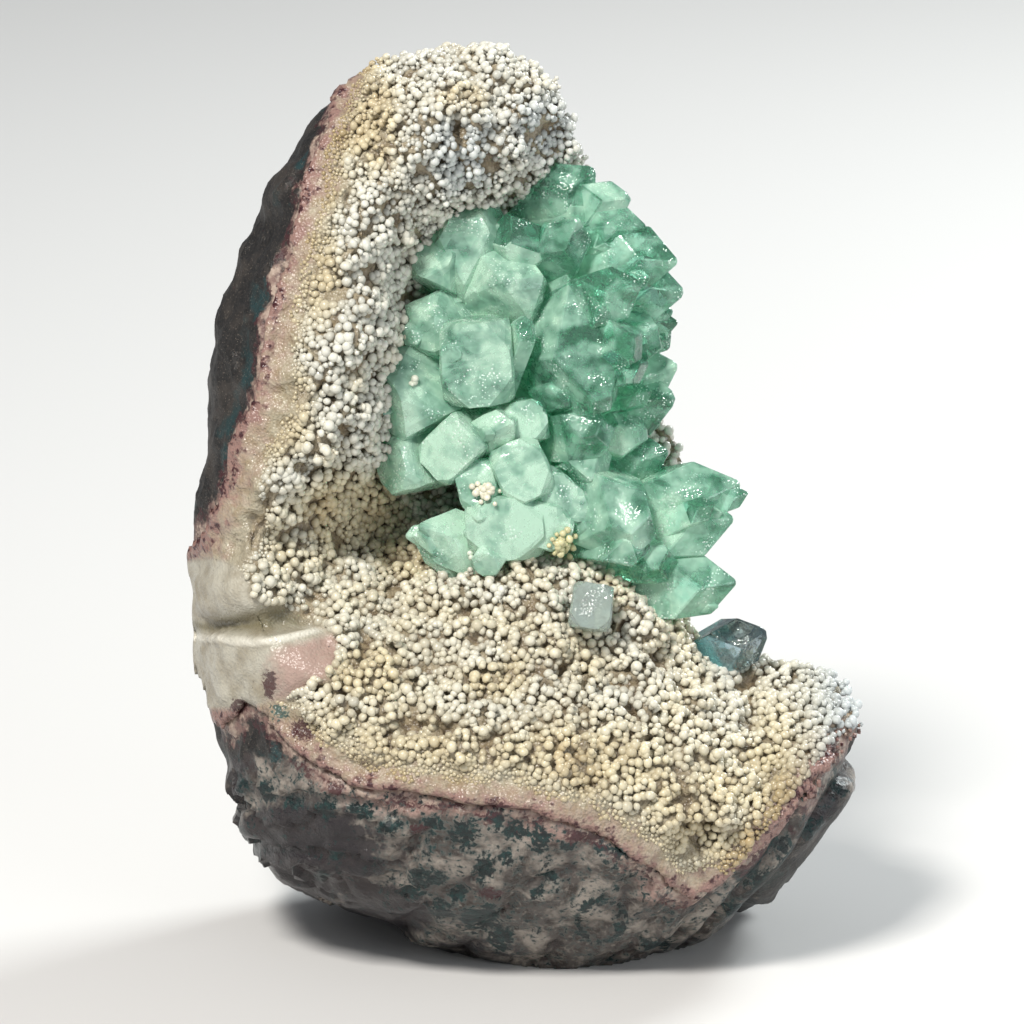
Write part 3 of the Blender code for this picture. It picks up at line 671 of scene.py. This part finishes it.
def scatterBalls(bed):
    # points all over the open face of the crust, no two closer than a share of their balls' radii
    rng = np.random.default_rng(crust["seed"])
    mesh = bed.data
    mesh.calc_loop_triangles()
    corners = coordsOf(mesh)
    faces = np.empty(len(mesh.loop_triangles) * 3, np.int32)
    mesh.loop_triangles.foreach_get("vertices", faces)
    triangles = corners[faces.reshape(-1, 3)]
    middles = triangles.mean(axis=1)
    cross = np.cross(triangles[:, 1] - triangles[:, 0], triangles[:, 2] - triangles[:, 0])
    area = np.linalg.norm(cross, axis=1) / 2
    outs = cross / np.maximum(2 * area[:, None], 1e-12)
    toRock = treeOf(frame["nodes"]["basalt_matrix"].data)
    covered = np.array([toRock.ray_cast(Vector(p) + Vector(o) * 0.0002, Vector(o), 0.006)[0] is not None
                        for p, o in zip(middles.tolist(), outs.tolist())])
    facing = outs @ np.array([0, -tiltCos, tiltSin])
    chance = np.where(covered | (facing < -0.5), 0, area)
    picks = rng.choice(len(area), crust["tries"], p=chance / chance.sum())
    a, b = rng.random((2, len(picks)))
    flip = a + b > 1
    a, b = np.where(flip, 1 - a, a), np.where(flip, 1 - b, b)
    t = triangles[picks]
    places = t[:, 0] + a[:, None] * (t[:, 1] - t[:, 0]) + b[:, None] * (t[:, 2] - t[:, 0])
    outs = outs[picks]
    across, up, _ = asSeen(places)
    inside = insideEdge(across, up)
    share = rng.uniform(*crust["spread"], len(places)) * (1 - 0.14 * smooth(140, 155, up))
    reach = inside + 2.5 * noiseOf(places, 9, 17) + 7 * smooth(30, 52, across) + 3 * smooth(140, 165, up)
    for *spot, wider in crust["wideRims"]:
        reach -= wider * spots(across, up, [spot])
    reach += 1.6 * noiseOf(places, 3, 5) - crust["rim"]
    growth = 0.62 + 0.38 * smooth(0, 6, reach)
    radius = crust["ball"] * share * growth / 1000
    keep = (reach > 0) & (inside > 0.5) & (smoothPart(across, up) + 0.2 * noiseOf(places, 5) < 0.45)
    keep &= (bunching(places) > -crust["gaps"]) | (inside < 5)
    grid, cell, chosen, closeness = {}, 2.2e-3, [], crust["closeness"]
    for i in np.flatnonzero(keep):
        p, r = places[i], radius[i]
        home = tuple((p // cell).astype(int))
        near = (j for dx in (-1, 0, 1) for dy in (-1, 0, 1) for dz in (-1, 0, 1)
                for j in grid.get((home[0] + dx, home[1] + dy, home[2] + dz), ()))
        if all((places[j] - p) @ (places[j] - p) > (closeness * (radius[j] + r)) ** 2 for j in near):
            grid.setdefault(home, []).append(i)
            chosen.append(i)
    places, outs, radius, reach = places[chosen], outs[chosen], radius[chosen], reach[chosen]
    clear = farFrom("apophyllite_cluster", places) > 0.2
    return rng, places[clear], outs[clear], radius[clear], reach[clear]


def makeBalls(bed):
    rng, places, outs, radius, reach = scatterBalls(bed)
    height = crust["bunches"][1]
    rise = np.clip(0.2 + bunching(places) * 1.8, -0.2, 1.6) * height / 1000 * smooth(1, 8, reach)
    across, up, _ = asSeen(places)
    sunk = np.maximum(smooth(5, 0, reach), smooth(0, 0.4, smoothPart(across, up)))
    rise -= radius * (0.7 + 0.4 * noiseOf(places, 1.5)) * sunk
    outs = outs + 0.3 * rng.normal(size=outs.shape)
    outs /= np.linalg.norm(outs, axis=1, keepdims=True)
    tops = places + outs * (rise + 0.2 * radius)[:, None]
    across, up, _ = asSeen(tops)
    warm = crustWarmth(tops, across, up, insideEdge(across, up))[:, None]
    cool = np.maximum(smooth(50, 66, across), 0.7 * spots(across, up, crust["cool"]))
    white, cream, tan = (np.array(c) for c in crust["colours"])
    tints = np.where(warm < 0.5, white + (cream - white) * warm * 2, cream + (tan - cream) * (warm * 2 - 1))
    tints = tints + (np.array(crust["bluish"]) - tints) * cool[:, None]
    tints *= rng.uniform(0.92, 1.07, (len(places), 1))
    # painted shade: balls that sit low, not raised on a bunch, are darker
    tints *= (0.78 + 0.22 * smooth(-0.0003, 0.0012, rise))[:, None]
    stretches = rng.uniform(0.95, 1.3, len(places))
    wides = rng.uniform(*crust["wobble"], (len(places), 2))
    big = radius > crust["bigFrom"] / 1000
    # a ball that stands up gets another under it, on which it grew
    stalk = rise > 0.8 * radius
    under = places[stalk] + outs[stalk] * (rise[stalk] - 0.9 * radius[stalk])[:, None]
    values = (tops, outs, radius, stretches, tints, wides)
    made = [joinedBalls(f"crust_balls_{i + 1}", ballTemplate(2), *(each[part] for each in values))
            for i, part in enumerate(np.array_split(np.flatnonzero(big), 4))]
    small = ~big
    # painted shade: the balls under the raised ones are darker
    unders = (under, outs[stalk], 0.9 * radius[stalk], np.full(stalk.sum(), 1.3), tints[stalk] * 0.75)
    both = [np.concatenate([each[small], more]) for each, more in zip(values, unders)]
    made.append(joinedBalls("crust_sugar", ballTemplate(1), *both))
    print("balls", big.sum(), "sugar", small.sum(), "stalks", stalk.sum())
    return made


def ballFinish():
    material, shader = newMaterial("chalcedony balls")
    fine = grain(0.45, 3)
    # painted sheen: fine flecks of lighter colour laid over the balls' tint
    sheenFlecks = band(fine, 0.35, 0.7, 0, 0.3)
    colour = mixed(sheenFlecks, reading("tint", 0), crust["sheenFleck"], "OVERLAY")
    feed(shader, {"Base Color": colour, "Normal": raised(fine, 0.04), "Roughness": 0.2,
                  "IOR": 1.54, "Sheen Weight": 0.2, "Sheen Roughness": 0.4})
    return material


def bedFinish():
    material, shader = newMaterial("chalcedony bed")
    middle, wide = grain(1.6, 5), grain(6, 4)
    inside, bare, warm, gap = readings("inside", "bare", "warm", "gap")
    pink, groove, lip, green, maroon = readings("pink", "groove", "lip", "green", "maroon")
    sugar = mixed(warm, *crust["sugar"])
    sugar = blend(middle, 0.40, 0.62, sugar, crust["paleSugar"], 0.7)
    # painted shade over the bed's tan: it darkens deeper in under the balls, and most in the gaps and hollows
    dark = blend(middle, 0.35, 0.65, *crust["between"])
    colour = blend(inside, 7, 12, sugar, dark, 0.6)
    colour = mixed(times(gap, band(inside, 4, 8)), colour, dark)
    # pinkish towards the rock, with a rusty rind and maroon specks at the very edge
    ragged = frayed(inside, grain(2.4, 6), 2.4)
    colour = blend(ragged, 5.5, 1.5, colour, crust["pinkish"], 0.7)
    colour = blend(ragged, 1.6, 0.2, colour, crust["rusty"], 0.9)
    specks = times(band(ragged, 1.8, 0.4), band(middle, 0.5, 0.6))
    colour = mixed(specks, colour, rock["maroon"])
    # the smooth bands at the left
    milk = blend(wide, 0.40, 0.62, *crust["milk"])
    milk = blend(frayed(pink, middle, 0.2), 0.2, 1.0, milk, crust["pinkMilk"])
    # painted shade in the groove over the step, partly its tan band
    milk = blend(groove, 0.2, 0.9, milk, crust["groove"], 0.9)
    # painted highlight along the step's edge, partly its white band
    milk = blend(lip, 0.3, 0.9, milk, crust["lip"], 0.8)
    colour = blend(bare, 0.1, 0.6, colour, milk)
    # teal and maroon growths that branch
    branches = grain(1.4, 7, 0.7, 1.4)
    colour = blend(frayed(green, branches, 0.7), 0.5, 0.8, colour, crust["teal"], 0.85)
    colour = blend(frayed(maroon, branches, 0.7), 0.45, 0.8, colour, rock["maroon"], 0.9)
    sparkle = times(cells(0.6), band(bare, 0.6, 0.3, 0.6, 1))
    bumps = raised(sparkle, 0.25, raised(middle, 0.3))
    feed(shader, {"Base Color": colour, "Roughness": 0.28, "Normal": bumps})
    return material


crustBed = makeCrustBed()
crustBed.data.materials.append(bedFinish())
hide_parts("chalcedony_crust")
chalcedony = ballFinish()
crustPieces = [crustBed] + makeBalls(crustBed)
for piece in crustPieces:
    if piece is not crustBed:
        piece.data.materials.append(chalcedony)
    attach(piece, "root")
print("crust bed", len(crustBed.data.polygons), "faces")

# the apophyllite crystals

apophyllite = {
    "steepness": 0.9,       # how fast a tip's faces close in
    "footShare": 0.86,      # a crystal's width at its foot, as a share of its full width
    "bevel": 0.22,          # worn edges, mm
    "root": ((3, 116, -17), (20, 30, 8)),       # what they all grow from: middle and half sizes
    # how many small crystals sprout from each one of a group
    "youngOnes": {"upper right fan": 1, "centre": 3, "left, frosted": 5, "lower left": 4,
                  "lower right fan": 2},
    # their width against that of the one they grow on, place along it, length within it in widths, and
    # how far they lean and turn from it
    "young": {"size": (0.2, 0.42), "along": (0.35, 0.78), "reach": (1.2, 2.0), "lean": 0.2, "turn": 14},
    "seed": 8,
    "wavy": ("left, frosted", "lower left"),        # groups whose faces are etched out of flat
    # how milky each group is, 0 to 1
    "milky": {"upper right fan": 0.25, "centre": 0.4, "left, frosted": 0.75, "lower left": 0.85,
              "lower right fan": 0.25},
    # how it takes light: clear and cloudy are the shares that pass through, milk the colours of the cloud
    "finish": {"tint": (0.32, 0.86, 0.68), "density": 38, "clear": 0.9, "cloudy": 0.25,
               "milk": ((0.36, 0.72, 0.57), (0.49, 0.72, 0.57)), "rough": (0.02, 0.32)},
    "glitter": (0.86, 0.95, 0.90),
    # each crystal: foot and tip (across, up, deep), width as seen, thickness, turn about its length in
    # degrees, and bluntness, near 0 for a sharp tip and 1 for a plain box
    "groups": {"upper right fan": [
        ((1.5, 149.5, -24), (13.9, 159.9, -34), 11, 10, 4, 0.1),
        ((2, 150.5, -24), (20.9, 154, -36), 8.5, 9, -6, 0.16),
        ((-1, 148.5, -24), (24.4, 148.2, -37), 10, 8, 8, 0.08),
        ((1, 145, -23), (27, 145.2, -34), 10, 8, -10, 0.1),
        ((1, 144.5, -23), (30.6, 141.4, -39), 13, 8, 4, 0.06),
        ((6, 136.5, -23), (31.8, 135.4, -34), 11, 9, -8, 0.1),
        ((12, 131, -22), (29.8, 131.6, -31), 5.5, 6, 16, 0.12),
        ((12, 126.6, -22), (30.9, 129.6, -29), 6, 6, -12, 0.08),
        ((12, 125, -20), (29, 126.8, -28), 6, 6, 20, 0.4),
        ((2, 136, -22), (10.8, 149.6, -42), 9.5, 9, 14, 0.08),
        ((-6, 138, -20), (0.5, 147, -38), 12, 10, -20, 0.4),
        ((1, 127.5, -26), (23.2, 137, -43), 11, 8, -10, 0.08),
    ], "centre": [
        ((5, 133, -20), (15.8, 112.6, -44), 23, 19, 26, 0.12),
        ((6, 126, -22), (26, 125.4, -38), 12, 10, -20, 0.3),
        ((9, 115, -18), (30.6, 120.9, -32), 11, 9, 8, 0.08),
        ((8, 111.6, -18), (29.9, 114.3, -33), 13.5, 10, -6, 0.12),
        ((8, 100, -18), (28.9, 103.6, -32), 9, 8, 12, 0.08),
        ((-2, 107, -20), (16.4, 107.4, -41), 10, 9, 14, 0.3),
        ((10, 108, -20), (13.6, 98, -40), 9, 9, 42, 0.06),
        ((-5, 113, -32), (0.9, 129.6, -43), 3.6, 6, 30, 0.3),
        ((6, 108, -18), (24, 107, -35), 10, 9, -24, 0.2),
    ], "left, frosted": [
        ((-9, 131, -20), (-11, 152, -36), 16, 13, 38, 0.34),
        ((-10, 136, -20), (-18.4, 143, -36), 10, 10, 20, 0.6),
        ((-5, 124, -20), (-2.4, 141, -38), 14.5, 11, -14, 0.5),
        ((-8.4, 125, -20), (-9.2, 120.6, -44), 14.5, 17, 14, 0.64),
        ((-6, 122, -22), (-27.6, 113.4, -37), 17, 12, 10, 0.6),
        ((-7, 130, -22), (-20.6, 128, -38), 12, 10, 30, 0.5),
        ((-6, 104, -20), (-26.4, 100.8, -35), 11, 10, 8, 0.7),
        ((-6, 107, -20), (-15, 103.8, -41), 10, 12, 24, 0.76),
        ((-13, 105, -24), (-2, 109.4, -44), 7.5, 8, 8, 0.06),
        ((0, 108, -16), (0.4, 109.8, -40), 9, 8, 22, 0.66),
        ((0, 98, -18), (-0.2, 99.8, -43), 10.5, 12, 16, 0.66),
        ((-6, 96, -20), (-9.4, 97.4, -41), 9, 8, 38, 0.7),
        ((5, 96, -18), (8, 94.4, -40), 7.5, 12.5, -10, 0.66),
    ], "lower left": [
        ((-4, 82, -29), (-20.4, 88.9, -38), 12, 8, 4, 0.06),
        ((-6, 81, -29), (-21.9, 87.2, -36), 10, 7, -12, 0.06),
        ((-3, 91.5, -22), (-3.6, 88, -42), 15.5, 13, 12, 0.62),
        ((2, 91, -22), (4.4, 88.6, -41), 9, 11, 30, 0.66),
    ], "lower right fan": [
        ((16, 88, -25), (43.1, 97.3, -35), 14.5, 11, 10, 0.06),
        ((24, 86, -30), (38, 93.4, -40), 5, 5, -16, 0.08),
        ((18, 87, -26), (41.8, 90.2, -36), 13, 10, -8, 0.06),
        ((23, 76, -28), (42.4, 77.6, -35), 12, 9, 6, 0.06),
        ((4, 100, -20), (24, 87, -43), 15, 12, 20, 0.3),
        ((9, 86, -27), (23.4, 85, -42), 9, 8, -12, 0.4),
        ((17, 84, -29), (29, 81, -38), 8, 8, 24, 0.4),
    ]},
}


def crystalCorners(foot, tip, width, thickness, turn, bluntness):
    foot, tip = seen(*foot) * 1000, seen(*tip) * 1000
    length = (tip - foot).normalized()
    side = length.cross(Vector((0, -tiltCos, tiltSin))).normalized()
    side = Matrix.Rotation(math.radians(turn), 3, length) @ side
    face = length.cross(side)
    long = (tip - foot).length
    top = 2 * bluntness
    rise = width / 2 / apophyllite["steepness"]
    square = [(1, 1), (-1, 1), (-1, -1), (1, -1)]
    share = apophyllite["footShare"]
    rings = [(0, [(share * i, share * j) for i, j in square]), (long - rise * (2 - top), square)]
    if top < 1:
        rings.append((long - rise * (1 - top), [(1, 0), (0, 1), (-1, 0), (0, -1)]))
        rings.append((long, [(top, 0), (0, top), (-top, 0), (0, -top)]))
    else:
        cut = top - 1
        rings.append((long, [(i, j * cut) for i, j in square] + [(i * cut, j) for i, j in square]))
    return [(foot + length * far + side * i * width / 2 + face * j * thickness / 2) / 1000
            for far, ring in rings for i, j in ring]


def crystalMesh(name, corners, bevel, wavy=False):  # a convex solid, its edges a little worn
    work = bmesh.new()
    verts = [work.verts.new(p) for p in corners]
    hull = bmesh.ops.convex_hull(work, input=verts, use_existing_faces=False)
    spare = {v for v in hull["geom_interior"] + hull["geom_unused"] if isinstance(v, bmesh.types.BMVert)}
    bmesh.ops.delete(work, geom=list(spare), context="VERTS")
    bmesh.ops.dissolve_limit(work, angle_limit=math.radians(0.5), verts=work.verts[:], edges=work.edges[:])
    if wavy:  # etched faces that are no longer flat
        bmesh.ops.triangulate(work, faces=work.faces[:])
        bmesh.ops.subdivide_edges(work, edges=work.edges[:], cuts=3, use_grid_fill=True)
        bmesh.ops.smooth_vert(work, verts=work.verts[:], factor=0.4, use_axis_x=True, use_axis_y=True,
                              use_axis_z=True)
        work.normal_update()
        for vert in work.verts:
            p = vert.co * 1000
            swell = 0.35 * noise.noise(p / 5) + 0.2 * noise.noise(p / 2.2 + Vector((9, 0, 0))) + 0.15
            vert.co += vert.normal * swell / 1000
    elif bevel:
        bmesh.ops.bevel(work, geom=work.edges[:], offset=bevel / 1000, segments=1, affect="EDGES",
                        clamp_overlap=True)
    bmesh.ops.recalc_face_normals(work, faces=work.faces[:])
    mesh = bpy.data.meshes.new(name)
    work.to_mesh(mesh)
    work.free()
    return mesh


def rootCorners():
    middle, half = apophyllite["root"]
    corners = []
    for turn in range(0, 360, 40):
        for lift in (-60, -20, 20, 60):
            c, s = math.cos(math.radians(turn)), math.sin(math.radians(turn))
            flat = math.cos(math.radians(lift))
            corners.append(seen(middle[0] + half[0] * c * flat, middle[1] + half[1] * s * flat,
                                middle[2] + half[2] * math.sin(math.radians(lift))))
    return corners


def youngCrystals():  # small ones half sunk in the sides of the big ones, nearly in line with them
    rng = np.random.default_rng(apophyllite["seed"])
    plan, young = apophyllite["young"], []
    for name, group in apophyllite["groups"].items():
        for foot, tip, width, thickness, turn, bluntness in group:
            foot, tip = np.array(foot, float), np.array(tip, float)
            length = tip - foot
            for _ in range(apophyllite["youngOnes"][name]):
                size = rng.uniform(*plan["size"]) * width
                around = rng.uniform(0, 2 * math.pi)
                off = np.array([math.cos(around) * width, math.sin(around) * width, 0]) * 0.5
                off[2] = -abs(math.sin(around + 1)) * thickness * 0.3
                at = foot + length * rng.uniform(*plan["along"]) + off * 0.75
                lean = length / np.linalg.norm(length) + rng.normal(size=3) * plan["lean"]
                lean /= np.linalg.norm(lean)
                reach = size * rng.uniform(*plan["reach"])
                young.append((tuple(at - lean * reach), tuple(at + lean * reach * 0.7), size, size * 0.9,
                              turn + rng.uniform(-plan["turn"], plan["turn"]),
                              bluntness if rng.random() < 0.6 else 0.15))
    return young


def makeCluster():
    groups = apophyllite["groups"]
    wavyOnes = {crystal for name in apophyllite["wavy"] for crystal in groups[name]}
    parts = bpy.data.collections.new("crystals to join")
    scene.collection.children.link(parts)
    for crystal in sum(groups.values(), []) + youngCrystals():
        mesh = crystalMesh("crystal", crystalCorners(*crystal), apophyllite["bevel"], crystal in wavyOnes)
        parts.objects.link(bpy.data.objects.new("crystal", mesh))
    fan = intoScene("apophyllite_fan", crystalMesh("apophyllite_fan", rootCorners(), 0))
    join = fan.modifiers.new("grown together", "BOOLEAN")
    join.operation, join.operand_type, join.solver = "UNION", "COLLECTION", "EXACT"
    join.collection = parts
    settle(fan)
    for one in list(parts.objects):
        bpy.data.objects.remove(one)
    bpy.data.collections.remove(parts)
    return fan


def cloudFaces(mesh):  # how milky each face is, by the crystal that it belongs to
    rng = np.random.default_rng(apophyllite["seed"])
    crystals, milky = [], []
    for name, group in apophyllite["groups"].items():
        crystals += group
        milky += list(apophyllite["milky"][name] + rng.uniform(-0.2, 0.2, len(group)))
    middles = np.array([f.center for f in mesh.polygons])
    nearest = np.full(len(middles), 1e9)
    owner, share = np.zeros(len(middles), int), np.zeros(len(middles))
    for i, (foot, tip, width, *_) in enumerate(crystals):
        foot, tip = np.array(seen(*foot)), np.array(seen(*tip))
        run = tip - foot
        t = np.clip((middles - foot) @ run / (run @ run), 0, 1)
        gap = np.linalg.norm(middles - foot - t[:, None] * run, axis=1) / width
        owner, share = np.where(gap < nearest, i, owner), np.where(gap < nearest, t, share)
        nearest = np.minimum(gap, nearest)
    cloud = np.array(milky)[owner] + 0.25 * smooth(0.8, 0.3, share) + rng.uniform(-0.06, 0.06, len(middles))
    giveValues(mesh, "FACE", cloud=np.clip(cloud, 0, 1))


def crystalFinish(name, plan):
    material, shader = newMaterial(name)
    fine, middle, wide = grain(0.7, 1), grain(2.4, 2), grain(7, 2, 0.5, 0.6)
    veil = frayed(reading("cloud"), wide, 0.26, 0.35, 0.65)
    veil = frayed(veil, middle, 0.14)
    # patches of tiny etched facets that glitter; the specks' colour is painted near white as painted glitter,
    # partly the etching's own white
    facets = cells(0.6)
    patch = band(grain(5, 3), 0.54, 0.62)
    specks = times(patch, band(facets, 0.32, 0.2))
    weight = band(sums("ADD", veil, specks), 0.1, 0.9, plan["clear"], plan["cloudy"])
    colour = blend(veil, 0.15, 0.85, *plan["milk"])
    colour = mixed(specks, colour, apophyllite["glitter"])
    frost = band(frayed(veil, fine, 0.2), 0.2, 1.0, *plan["rough"])
    glitter = times(facets, band(patch, 0, 1, 0.02, 0.16))
    bumps = raised(glitter, 1.0, raised(middle, 0.1))
    feed(shader, {"Base Color": colour, "Transmission Weight": weight, "Roughness": frost,
                  "Normal": bumps, "IOR": 1.535})
    absorb = put("VolumeAbsorption", {"Color": (*plan["tint"], 1), "Density": plan["density"]})
    feed(bench["tree"].nodes["Material Output"], {"Volume": absorb})
    return material


cluster = makeCluster()
cloudFaces(cluster.data)
cluster.data.materials.append(crystalFinish("sea-green apophyllite", apophyllite["finish"]))
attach(cluster, "root")
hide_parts("apophyllite_cluster")
print("crystals", len(cluster.data.polygons), "faces")

# the two single crystals

singles = {
    "front": {"crystal": ((13.6, 71.6, -37), (13.6, 73.2, -49), 8, 9, -8, 0.72), "bevel": 0,
              "tint": (0.62, 0.84, 0.86), "density": 30, "clear": 0.7, "cloudy": 0.45,
              "milk": ((0.66, 0.77, 0.72), (0.80, 0.87, 0.80)), "rough": (0.1, 0.3), "wavy": True},
    "side": {"crystal": ((36, 62.4, -20), (48.4, 67.4, -27), 9.8, 9, 12, 0.14), "bevel": 0.2,
             "tint": (0.60, 0.74, 0.78), "density": 55, "clear": 0.95, "cloudy": 0.6,
             "milk": ((0.52, 0.60, 0.64), (0.20, 0.48, 0.50)), "rough": (0.03, 0.3), "wavy": False},
}


def makeSingle(name, node, plan):
    mesh = crystalMesh(name, crystalCorners(*plan["crystal"]), plan["bevel"], plan["wavy"])
    solid = intoScene(name, mesh)
    middles = np.array([f.center for f in mesh.polygons])
    foot, tip = (np.array(seen(*end)) for end in plan["crystal"][:2])
    along = (middles - foot) @ (tip - foot) / ((tip - foot) @ (tip - foot))
    giveValues(mesh, "FACE", cloud=0.9 * smooth(0.75, 0.1, along))  # cloudy towards its foot
    mesh.materials.append(crystalFinish(name + " finish", plan))
    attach(solid, "root")
    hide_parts(node)


makeSingle("pale_crystal", "front_crystal", singles["front"])
makeSingle("smoky_crystal", "side_crystal", singles["side"])

# balls of chalcedony that grew on the crystals

popcorn = {
    # (across, up), how many, spread, colour
    "clusters": [((-7.4, 95.6), 30, 1.5, (0.62, 0.60, 0.48)), ((7.6, 85.4), 42, 2.0, (0.56, 0.52, 0.30)),
                 ((-10.6, 83.5), 3, 0.6, (0.6, 0.66, 0.56)), ((-21, 117), 4, 1.2, (0.6, 0.62, 0.52))],
    "radius": 0.68,
    "seed": 3,
}


def makePopcorn():
    rng = np.random.default_rng(popcorn["seed"])
    tree = treeOf(cluster.data)
    towards = Vector((0, tiltCos, -tiltSin))
    places, outs, tints = [], [], []
    for (across, up), count, spread, tint in popcorn["clusters"]:
        for _ in range(count):
            x, u = across + rng.normal() * spread * 0.6, up + rng.normal() * spread * 0.6
            hit, out, _, _ = tree.ray_cast(seen(x, u, -90), towards)
            if hit:
                places.append(hit)
                outs.append(out)
                tints.append(np.array(tint) * rng.uniform(0.9, 1.1))
    places, outs, tints = np.array(places), np.array(outs), np.array(tints)
    sizes = popcorn["radius"] * rng.uniform(0.65, 1.25, len(places)) / 1000
    places = places + outs * (sizes * rng.uniform(0.2, 1.6, len(places)))[:, None]
    piece = joinedBalls("popcorn_on_crystals", ballTemplate(2), places, outs, sizes,
                        np.ones(len(places)), tints)
    piece.data.materials.append(chalcedony)
    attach(piece, "root")


makePopcorn()
print("small pieces done")
